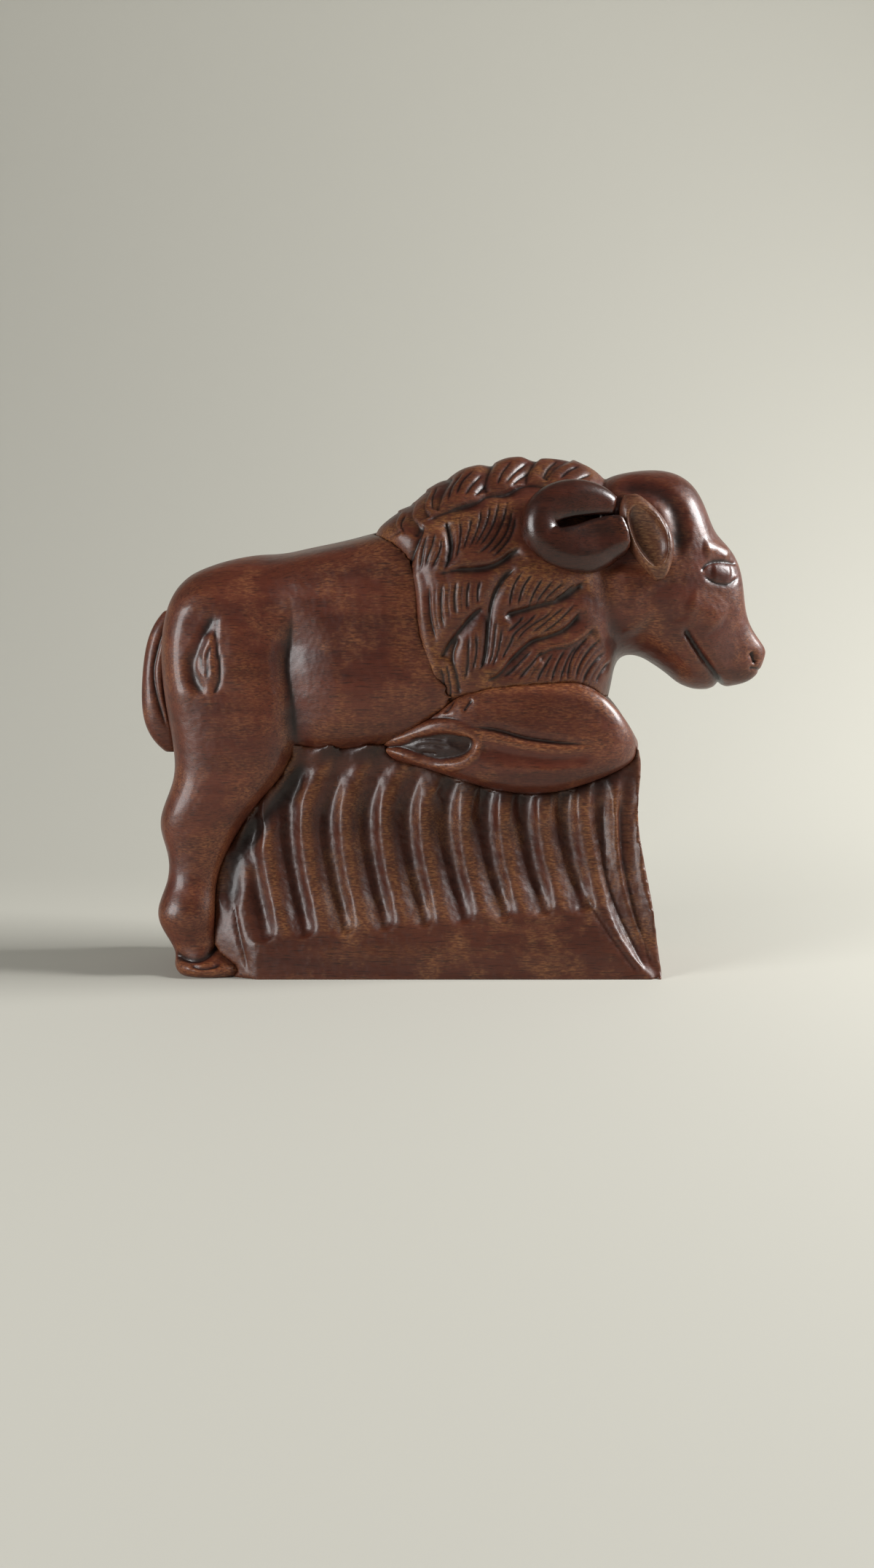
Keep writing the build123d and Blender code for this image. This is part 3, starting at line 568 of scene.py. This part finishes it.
locks = [
    [[(3, 143), (1.6, 139), (0.8, 134), (0.3, 130.5)], [(5.2, 143.5), (4.2, 139), (2.6, 134.5), (1.9, 131)],
     [(7.3, 142), (6.6, 137), (4.8, 132.8), (3.6, 130.8)]],
    [[(12.8, 148.5), (13.2, 143), (12.4, 137.5), (11, 133)],
     [(16.6, 149.5), (16.4, 145.5), (15, 140.5), (13.4, 136)],
     [(19.8, 151.5), (19.4, 147), (17.8, 142), (15.4, 137)],
     [(22.6, 153), (22.2, 148.5), (20.4, 143.5), (17, 137.5)],
     [(25.6, 154.5), (24.8, 149.5), (22.6, 143.5), (18, 137)],
     [(28.5, 155), (27.6, 150), (26, 145), (22.6, 139.5), (17, 134.6)],
     [(30, 153), (29.3, 148), (28, 143.5), (25, 139), (20.5, 135)],
     [(31, 150), (30.2, 145), (28.7, 141.2), (26, 137.6), (22.3, 134)]],
    [[(3.4, 127), (3.2, 120.5), (4, 114), (5.8, 108)],
     [(7.6, 128), (7, 122.5), (7.1, 117), (8, 111.8)], [(11.9, 128.3), (11.3, 122.5), (11.7, 115.8)],
     [(15.9, 128), (15.2, 122.5), (15.5, 117.6)], [(19.2, 128), (18.6, 123.5), (18.8, 119.5)]],
    [[(33.5, 131.5), (30, 126), (28.4, 118.4)], [(36.5, 130.5), (33, 125.5), (31.2, 119)],
     [(39.7, 129), (36.6, 124), (34.6, 118.8)], [(43.2, 128.3), (39.4, 123.8), (36.8, 119.6)],
     [(46.6, 127.6), (42, 123.6), (39, 120.3)], [(50.2, 127), (45.6, 123), (42.3, 121)]],
    [[(33.8, 117), (30.5, 113.5), (27.6, 111)], [(38.5, 118.4), (34.6, 114.6), (30.5, 111), (28.2, 106.8)],
     [(44, 120), (40.4, 116.4), (36.5, 114), (33, 111.2), (30, 107)],
     [(47.6, 120.5), (43.6, 117.3), (39.4, 113.8), (34.5, 110.2)],
     [(50.6, 121.3), (46.2, 116.6), (42, 112.9), (37.5, 110.2)]],
    [[(24.5, 116), (24, 110), (23.2, 104), (21.4, 99.5)],
     [(26.4, 114), (25.8, 108.5), (24.6, 103.6), (22.8, 99.5)],
     [(30.6, 110.8), (28.2, 106.3), (26, 102)]],
    [[(36.6, 106.2), (33.2, 103), (29.6, 99.2), (26, 96.4)],
     [(39.6, 106), (36.8, 102.4), (33.6, 98.6), (31, 95.6)],
     [(43.4, 105.6), (41, 102), (38.7, 98), (37.4, 94.6)],
     [(47.4, 106.6), (45, 103), (43.3, 99), (42.2, 94.6)],
     [(51.6, 108.6), (48.2, 104), (46, 98.6), (45, 94.6)],
     [(55.6, 111), (51, 106.6), (48.4, 101.5), (47.4, 95)],
     [(59.6, 110), (55.2, 106.4), (51.8, 101.4), (49.8, 95)],
     [(61, 106), (57, 102.4), (54, 98.4), (52.2, 94)],
     [(62.5, 102.4), (59.4, 99), (56.8, 94.6)]],
    [[(18, 112.5), (18.3, 107), (18, 103), (16.4, 97.6)],
     [(16, 111.5), (15.6, 105.5), (15.4, 100), (14.2, 95)]],
    [[(6.4, 101.5), (7.6, 97), (8, 91.5), (7, 86)], [(8.4, 103), (9.4, 97.5), (10, 92), (9.2, 86.5)]],
]
print("Pencilled lines:", len(crest_laps) + len(crest_hairs) + len(tier_edges) + sum(map(len, locks)))

# %% Carve the fleece, tiers first and the finest hairs last
SLOT_RASP = {"width": 5.0, "passes": 14}
CREST_RASP = {"width": 5.5, "passes": 34}
LOBE_CHISEL = {"tool": "lap", "width": 8.0, "depth": 0.9, "over_top": True, "taper": 0.1, "dark": 0.5}
TIER_CHISEL = {"tool": "lap", "width": 7.0, "depth": 1.2, "taper": 0.1, "dark": 0.4}
ROPE_RAISE = {"tool": "gouge", "width": 2.6, "depth": -0.7, "taper": 0.1}
PARTING_TOOL = {"tool": "vee", "width": 2.6, "depth": 1.0, "taper": 0.12}
CREST_HAIR_TOOL = {"tool": "vee", "width": 1.7, "depth": 0.55, "taper": 0.25, "over_top": True}
HAIR_TOOL = {"tool": "vee", "width": 1.7, "depth": 0.75, "taper": 0.25}
FINE_HAIR_TOOL = {"tool": "vee", "width": 1.4, "depth": 0.35, "taper": 0.3, "dark": 0.4}

fleece = Bench(skin_over("carved_fleece", ["fleece", "head"], net=0.57, soften=5))
fleece.rasp([(68, 136), (67, 124), (67, 112), (69, 105)], width=10, passes=140)
for line in crest_laps:
    fleece.rasp(line, **CREST_RASP)
for line in tier_edges + deep_partings:
    fleece.rasp(line, **SLOT_RASP)
for line in crest_laps:
    fleece.cut(line, **LOBE_CHISEL)
for line in tier_edges:
    fleece.cut(line, **TIER_CHISEL)
fleece.settle()
fleece.cut(fleece_edge, **ROPE_RAISE)
for line in deep_partings:
    fleece.cut(line, **PARTING_TOOL)
for line in crest_hairs:
    fleece.cut(line, **CREST_HAIR_TOOL)
for lock in locks:
    for line in lock:
        fleece.cut(line, **HAIR_TOOL)
    for line, next_line in zip(lock, lock[1:]):
        fleece.cut(between(line, next_line), **FINE_HAIR_TOOL)
print("Fleece carved:", len(fleece.spots), "vertices")

# %% [markdown]
# ## The head
# Neck and cheek run into one another, so the head is carved on the same skin as the fleece and sawn off it
# at the end, where the hair stops. The head is smooth, so a few cuts carry it: lids round a swollen eye, a
# brow above, a mouth that runs back from the lip, a nostril, and a broad hollow behind the ear.

# %% Swellings and hollows of the head
behind_ear = [(62, 156), (69, 158.5), (77, 156.5), (82, 151), (83.5, 143), (82.5, 134)]
brow = [(91, 138), (96, 138.5), (102, 136.5)]
eyeball = [(94.5, 130.8), (98, 131), (102, 130.8)]
nose_side = [(86, 121), (92, 119), (99, 114)]
jaw_hollow = [(76, 128), (80, 121), (82, 113)]
neck_swell = [(66, 134), (66.5, 126), (68, 118), (72, 111)]
# The hollow behind the ear is gouged and darkened with painted shade.
fleece.cut(behind_ear, width=5.0, depth=1.4, tool="gouge", dark=1.0)
fleece.cut(brow, width=4.5, depth=-1.1, tool="gouge")
fleece.cut(eyeball, width=4.2, depth=-0.6, tool="gouge")
fleece.cut(nose_side, width=8, depth=-0.8, tool="gouge")
fleece.cut(jaw_hollow, width=10, depth=0.3, tool="gouge", dark=0.35)
fleece.cut(neck_swell, width=9, depth=-1.8, tool="gouge")
fleece.settle()
print("Head shaped with", len([behind_ear, brow, eyeball, nose_side, jaw_hollow, neck_swell]), "broad strokes")

# %% Eye, mouth and nostril, then saw the head off the fleece
upper_lid = [(90.8, 131), (93.5, 133.6), (97.5, 134.6), (104.5, 134.2)]
lower_lid = [(91.2, 130.8), (94, 128.6), (97.5, 127.2), (101, 127.4), (105, 130.2)]
eye_opening = [(91.5, 131), (94, 133.2), (97.5, 134.2), (102, 133.8), (104.5, 131.5), (101.5, 128),
               (97.5, 127.6), (94, 129), (91.5, 131)]
mouth = [(85.6, 113.6), (88.4, 109.4), (92, 104.4), (95.8, 100), (99.4, 95.4), (102.6, 91)]
upper_lip = [(87.8, 113.2), (91.2, 108), (95, 102.8), (98.8, 98)]
lower_lip = [(85.2, 110.6), (88.4, 106), (92, 101.6)]
nostril = [(109.4, 105.8), (110.6, 103.4), (111.4, 101)]
lip_fold = [(108.6, 100.2), (111, 100), (114, 99.2)]
fleece.cut(upper_lid, width=1.7, depth=0.8, taper=0.1)
fleece.cut(lower_lid, width=1.6, depth=0.55, taper=0.2)
fleece.hollow(eye_opening, depth=0.1, wall=0.6, dark=0.6)
fleece.cut(mouth, width=3.6, depth=2.3, over_top=True, taper=0.12)
fleece.cut(upper_lip, width=1.8, depth=-0.35, tool="gouge")
fleece.cut(lower_lip, width=2.2, depth=-0.4, tool="gouge")
fleece.cut(nostril, width=2.8, depth=1.6, over_top=True)
fleece.cut(lip_fold, width=1.6, depth=0.7, over_top=True)
# The strokes pale the wood where handling wore the stain; the last one, on the neck, paints sheen there.
for stroke, width, amount in (([(93, 124), (99, 123)], 6, 0.45), ([(92, 143), (96, 140)], 5, 0.4),
                              ([(90, 118), (95, 117)], 5, 0.35), ([(72, 134), (76, 130)], 4, 0.55),
                              ([(60, 131), (62, 123)], 6, 0.75)):
    fleece.rub(stroke, width, amount)
fleece.settle()
fleece.rasp(mouth, width=2.6, passes=2)
fleece.weather(edge_wear=0.8)
hair_end = [(66, 70), (66, 98), (64, 104), (58, 112), (56, 122), (56, 134), (60, 150), (59, 162), (58, 190)]
head = fleece.saw("carved_head", hair_end)
hand_over(fleece.piece, fleece_wood, "carved_wood", "fleece")
hand_over(head, body_wood, "carved_wood", "head")

# %% [markdown]
# ## Forelegs
# Each foreleg is folded. A long line parts forearm from shank, with a rubbed ridge under it, and the sole of
# the hoof is a dark almond hollow inside a raised ring. Three short strands of the fleece fall onto its top.

# %% Carve both forelegs
hoof_hollow = [(-14, 74.2), (-7, 77.3), (0, 79.6), (6, 80.6), (12, 80.2), (16, 78.8), (18.2, 76.6),
               (17.4, 73.4), (14.2, 70.6), (10, 69.2), (5, 68.4), (0, 69.4), (-5, 71.4), (-14, 74.2)]
hoof_lip = [(-14, 75), (-7, 78.6), (0, 81.2), (6, 82.2), (12, 81.8), (17, 80.2)]
hoof_line = [(-15, 76.4), (-6, 81), (1, 83.6), (8, 84.4), (15, 83)]
hoof_ring = [(18.6, 79), (19.4, 76.4), (18, 72.4), (14, 69.2), (7, 67.2)]
hoof_veins = ([(-4, 76.6), (3, 77.6), (10, 76.8)], [(-2, 74.8), (4, 75.4), (10, 74.6)], [(0, 72.8), (6, 72.4)])
fold = [(13, 81.6), (20, 81), (26, 80), (33, 78), (40, 76.8), (48, 76), (57, 75.8)]
fold_ridge = [(18, 79.4), (26, 77.8), (33, 75.8), (40, 74.6), (48, 74.2), (55, 74.2)]
strands = ([(8.5, 93), (7.6, 88.5), (4.2, 85)], [(11.5, 92.7), (10.3, 88.4), (7.5, 85.2)],
           [(17, 90.3), (14, 86)])
for side in ("right", "left"):
    foreleg = Bench(skin_over("folded_foreleg_" + side, [side + "_foreleg"], net=0.5, soften=6))
    foreleg.rasp([(16, 73), (30, 72.4), (45, 72), (57, 73)], width=4.5, passes=40)
    foreleg.cut(hoof_lip, width=2.2, depth=-0.4, tool="gouge")
    foreleg.hollow(hoof_hollow, depth=2.4, wall=2.0, dark=1.5)
    foreleg.cut(hoof_line, width=2.2, depth=0.8, dark=0.6)
    foreleg.cut(fold, width=3.0, depth=1.4, taper=0.3, dark=0.8)
    foreleg.cut(fold_ridge, width=2.8, depth=-0.5, tool="gouge")
    foreleg.settle()
    foreleg.cut(hoof_ring, width=1.8, depth=-0.5, tool="gouge")
    for vein in hoof_veins:
        foreleg.cut(vein, width=1.4, depth=0.5)
    for strand in strands:
        foreleg.cut(strand, width=1.8, depth=0.8, dark=0.8)
    # The first stroke pales the forearm's top for wear and painted light from above; the last paints sheen on
    # the hoof hollow's outer wall.
    for stroke, width, amount in (([(20, 93), (35, 94.5), (50, 93.5), (62, 86)], 4, 0.8),
                                  ([(18, 79.2), (30, 76.6), (42, 74.6), (54, 74.2)], 2.2, 1.0),
                                  ([(12, 88), (30, 87), (50, 85)], 8, 0.35),
                                  ([(18, 78.4), (18.4, 74.6), (15, 70.6), (8, 68.2)], 2.4, 1.0)):
        foreleg.rub(stroke, width, amount)
    foreleg.weather()
    hand_over(foreleg.piece, body_wood, "carved_wood", side + "_foreleg")

# %% [markdown]
# ## Horns, ears and tail
# Horn and ear are already true curves in the CAD, so they mostly get a finer, softer skin. The horn's tip is
# pulled forward and its opening closed to a narrow slit, darkened with painted shade. A line inside the ear's
# outer edge gives it a double rim, its scoop is paler for wear and painted sheen, and the tail is parted into
# long strands.

# %% Soft skins on horns, ears and tail
ear_rim = [(70.5, 155.6), (75.2, 152.6), (78.4, 147.4), (79.4, 141), (79, 134)]
tail_partings = ([(-83, 119), (-87, 107), (-88.5, 96), (-84, 78)],
                 [(-81.5, 117), (-84.6, 104), (-85, 92), (-82, 77)])
for side in ("right", "left"):
    horn = Bench(skin_over("curled_horn_" + side, [side + "_horn"], net=0.4, soften=5))
    horn.pull((64, 142), reach=8, shift=(4.5, 1.0))
    # Closes the curl to a slit and paints shade along it.
    horn.close_slit([(42, 144.8), (45, 145.4), (49, 146.4), (55, 147.8), (60, 148.4), (68, 148.8)],
                    gaps=[0.3, 1.7, 1.8, 1.1, 0.6, 0.3], reach=9)
    horn.rasp([(45, 146), (55, 148), (64, 148.6)], width=6, passes=5)
    horn.weather(proud=0.4)
    hand_over(horn.piece, horn_wood, "horn_wood", side + "_horn")
    ear = Bench(skin_over("scooped_ear_" + side, [side + "_ear"], net=0.32, soften=4))
    ear.cut(ear_rim, width=1.5, depth=0.6, dark=0.8)
    # Pales the scoop for wear and painted sheen.
    ear.rub([(70, 150), (72, 142), (75, 134)], width=6, amount=1.0)
    ear.weather()
    hand_over(ear.piece, ear_wood_with_sheen, "carved_wood", side + "_ear")

tail = Bench(skin_over("carved_tail", ["tail"], net=0.45, soften=6))
for line in tail_partings:
    tail.cut(line, width=2.2, depth=0.9)
tail.weather()
hand_over(tail.piece, body_wood, "carved_wood", "tail")

# %% [markdown]
# ## The rock
# Its flutes, rounded feet and corner grooves are in the CAD. One more pass with a gouge deepens each flute, and
# the rasp then softens both its edges, the left one most. The rasp stops below the rim, so that the rock
# still meets the foreleg. The grooves that fan out into the front corner are deepened a little, the ridges
# between the flutes are rubbed, a gouge deepens the gap along the leg, and painted shade darkens that gap and
# the rock under the belly.

# %% Carve the rock
FLUTES = 9
FLUTE_PITCH = 12.9
FIRST_FLUTE_X = -51.5
FLUTE_FOOT_Z = 16.5
FLUTE_CLIMB = 1.15
FLUTE_TOP_Z = 78.0
FLUTE_EDGE = 0.6
LEFT_EDGE = 4.6
RIGHT_EDGE = 4.2
RIM_CLEAR = 6.0
flute_lean = [(-0.02, 0.10), (0.25, -0.22), (0.60, -0.36), (0.90, 0.24)]
rock = Bench(skin_over("fluted_rock", ["base"], net=0.75, soften=4))
flute_edges = []
for number in range(FLUTES):
    foot_x = FIRST_FLUTE_X + FLUTE_PITCH * number
    foot_z = FLUTE_FOOT_Z + FLUTE_CLIMB * number
    edge = [(foot_x + FLUTE_PITCH * lean + FLUTE_EDGE, foot_z + (FLUTE_TOP_Z - foot_z) * up)
            for up, lean in flute_lean]
    flute_edges.append(edge)
    rock.cut(edge, width=5.2, depth=1.3, tool="gouge", taper=0.12, dark=0.25)
    rock.rub([(x + FLUTE_PITCH / 2, z) for x, z in edge], width=2.8, amount=0.7)
rock.settle()
rim = np.array([(-36, 73.5), (-15, 73), (-1, 71), (5, 66), (14, 62.5), (29, 59.5), (50, 61), (62, 66),
                (68, 71)])
for edge in flute_edges:
    run = smooth_line(edge)[::5]
    run = run[run[:, 1] < np.interp(run[:, 0], *rim.T) - RIM_CLEAR]
    rock.rasp(run - (LEFT_EDGE, 0), width=4, passes=24)
    rock.rasp(run + (RIGHT_EDGE, 0), width=3, passes=5)
for line in ([(60, 60), (60, 44), (62.5, 27), (73.5, 2)], [(65.5, 58), (66, 42), (69, 26), (75.5, 3)],
             [(54, 26), (61, 15), (71, 1.5)]):
    rock.cut(line, width=2.8, depth=0.7, taper=0.1, dark=0.3)
rock.cut([(-61, 33), (-60, 20), (-55, 1)], width=2.4, depth=0.8, dark=0.5)
# A gouge in the gap between hind leg and rock, darkened with painted shadow.
gap_along_leg_in_painted_shadow = [(-36.5, 73), (-41.5, 63), (-51.5, 50), (-59, 40), (-61.5, 28), (-60.5, 17)]
rock.cut(gap_along_leg_in_painted_shadow, width=6, depth=1.6, tool="gouge", dark=1.6)
# Painted shade under the belly and the foreleg, with almost no depth.
rock.cut(rim, width=8, depth=0.05, tool="gouge", taper=0.05, dark=1.2)
for stroke, width, amount in (([(63, 58), (62, 44), (60, 30)], 7, 0.6), ([(68, 56), (69, 36)], 4, 0.5),
                              ([(-30, 8), (10, 9)], 5, 0.3)):
    rock.rub(stroke, width, amount)
rock.weather(edge_wear=0.3, groove_stain_and_shade=0.3)
hand_over(rock.piece, rock_wood, "rock_wood", "base")

# %% [markdown]
# ## Hidden dowels
# The dowels stay as CAD nodes. They are bare beech, and nothing shows of them in the finished figure.

# %% Finish for the dowels
for node in ("base_dowels", "foreleg_dowels", "rump_dowels", "haunch_dowels", "hock_dowels", "neck_dowels",
             "head_dowels", "horn_pegs", "tail_peg"):
    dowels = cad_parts[node]
    dowels.data.materials.clear()
    dowels.data.materials.append(dowel_wood)
    print(node, "in", dowel_wood.name)

# %% [markdown]
# ## Floor, light and camera
# The ram stands on a plain pale floor that bends up into a backdrop, so no line runs behind it. A broad
# lamp from the upper right gives the gleam on brow and knee, and a larger one from the left lights the
# left-hand edges and the flutes from the side. Little light comes from the front, which keeps the wood deep.

# %% The floor bends up behind the ram
FLOOR_HALF = 2.0
BACKDROP_Y = 0.9
BEND = 0.7
stage_shape = bmesh.new()
near_edge = [stage_shape.verts.new((x, -FLOOR_HALF, 0)) for x in (-FLOOR_HALF, FLOOR_HALF)]
far_edge = [stage_shape.verts.new((x, BACKDROP_Y, 0)) for x in (-FLOOR_HALF, FLOOR_HALF)]
top_edge = [stage_shape.verts.new((x, BACKDROP_Y, FLOOR_HALF)) for x in (-FLOOR_HALF, FLOOR_HALF)]
for low, high in ((near_edge, far_edge), (far_edge, top_edge)):
    stage_shape.faces.new([low[0], low[1], high[1], high[0]])
bend_edge = [edge for edge in stage_shape.edges if set(edge.verts) == set(far_edge)]
bmesh.ops.bevel(stage_shape, geom=bend_edge, offset=BEND, offset_type="OFFSET", affect="EDGES", segments=32,
                profile=0.5, material=-1)
stage_mesh = bpy.data.meshes.new("floor")
stage_shape.to_mesh(stage_mesh)
stage_shape.free()
stage_mesh.shade_smooth()
floor = bpy.data.objects.new("floor", stage_mesh)
bpy.context.collection.objects.link(floor)
paint = bpy.data.materials.new("matt emulsion, rolled")
paint.use_nodes = True
paint.node_tree.nodes["Principled BSDF"].inputs["Base Color"].default_value = linear("#b9b7ad")
paint.node_tree.nodes["Principled BSDF"].inputs["Roughness"].default_value = 0.8
stage_mesh.materials.append(paint)
print("Floor faces:", len(stage_mesh.polygons))

# %% Lamps and sky
def soft_lamp(name, place, size, power):
    """A square lamp that looks at the middle of the ram. Size in metres, power in watts."""
    lamp = bpy.data.lights.new(name, "AREA")
    lamp.size = size
    lamp.energy = power
    holder = bpy.data.objects.new(name, lamp)
    holder.location = place
    aim = Vector((0, 0, 0.09)) - Vector(place)
    holder.rotation_euler = aim.to_track_quat("-Z", "Y").to_euler()
    bpy.context.collection.objects.link(holder)


soft_lamp("window, upper right", (0.9, -0.05, 0.6), size=0.4, power=20)
soft_lamp("bounce, left", (-0.85, -0.6, 0.3), size=0.5, power=10)
sky = bpy.data.worlds.new("soft room")
sky.use_nodes = True
sky.node_tree.nodes["Background"].inputs["Color"].default_value = linear("#d8d9d6")
sky.node_tree.nodes["Background"].inputs["Strength"].default_value = 0.17
bpy.context.scene.world = sky
print("Lamps:", [lamp.name for lamp in bpy.data.lights])

# %% The camera, from the photograph's own perspective
FOCAL_PIXELS = 2000
FRAME_HEIGHT = 2152
HORIZON_RISE = 161
CAMERA_PLACE = (5.7, -493, 100.5)
camera_data = bpy.data.cameras.new("camera")
camera_data.sensor_width = 36
camera_data.lens = FOCAL_PIXELS * camera_data.sensor_width / FRAME_HEIGHT
camera = bpy.data.objects.new("camera", camera_data)
camera.location = [value * MM for value in CAMERA_PLACE]
camera.rotation_euler = (radians(90) - atan2(HORIZON_RISE, FOCAL_PIXELS), 0, 0)
bpy.context.collection.objects.link(camera)
bpy.context.scene.camera = camera
bpy.context.scene.view_settings.view_transform = "Standard"
print(f"Lens: {camera_data.lens:.1f} mm")
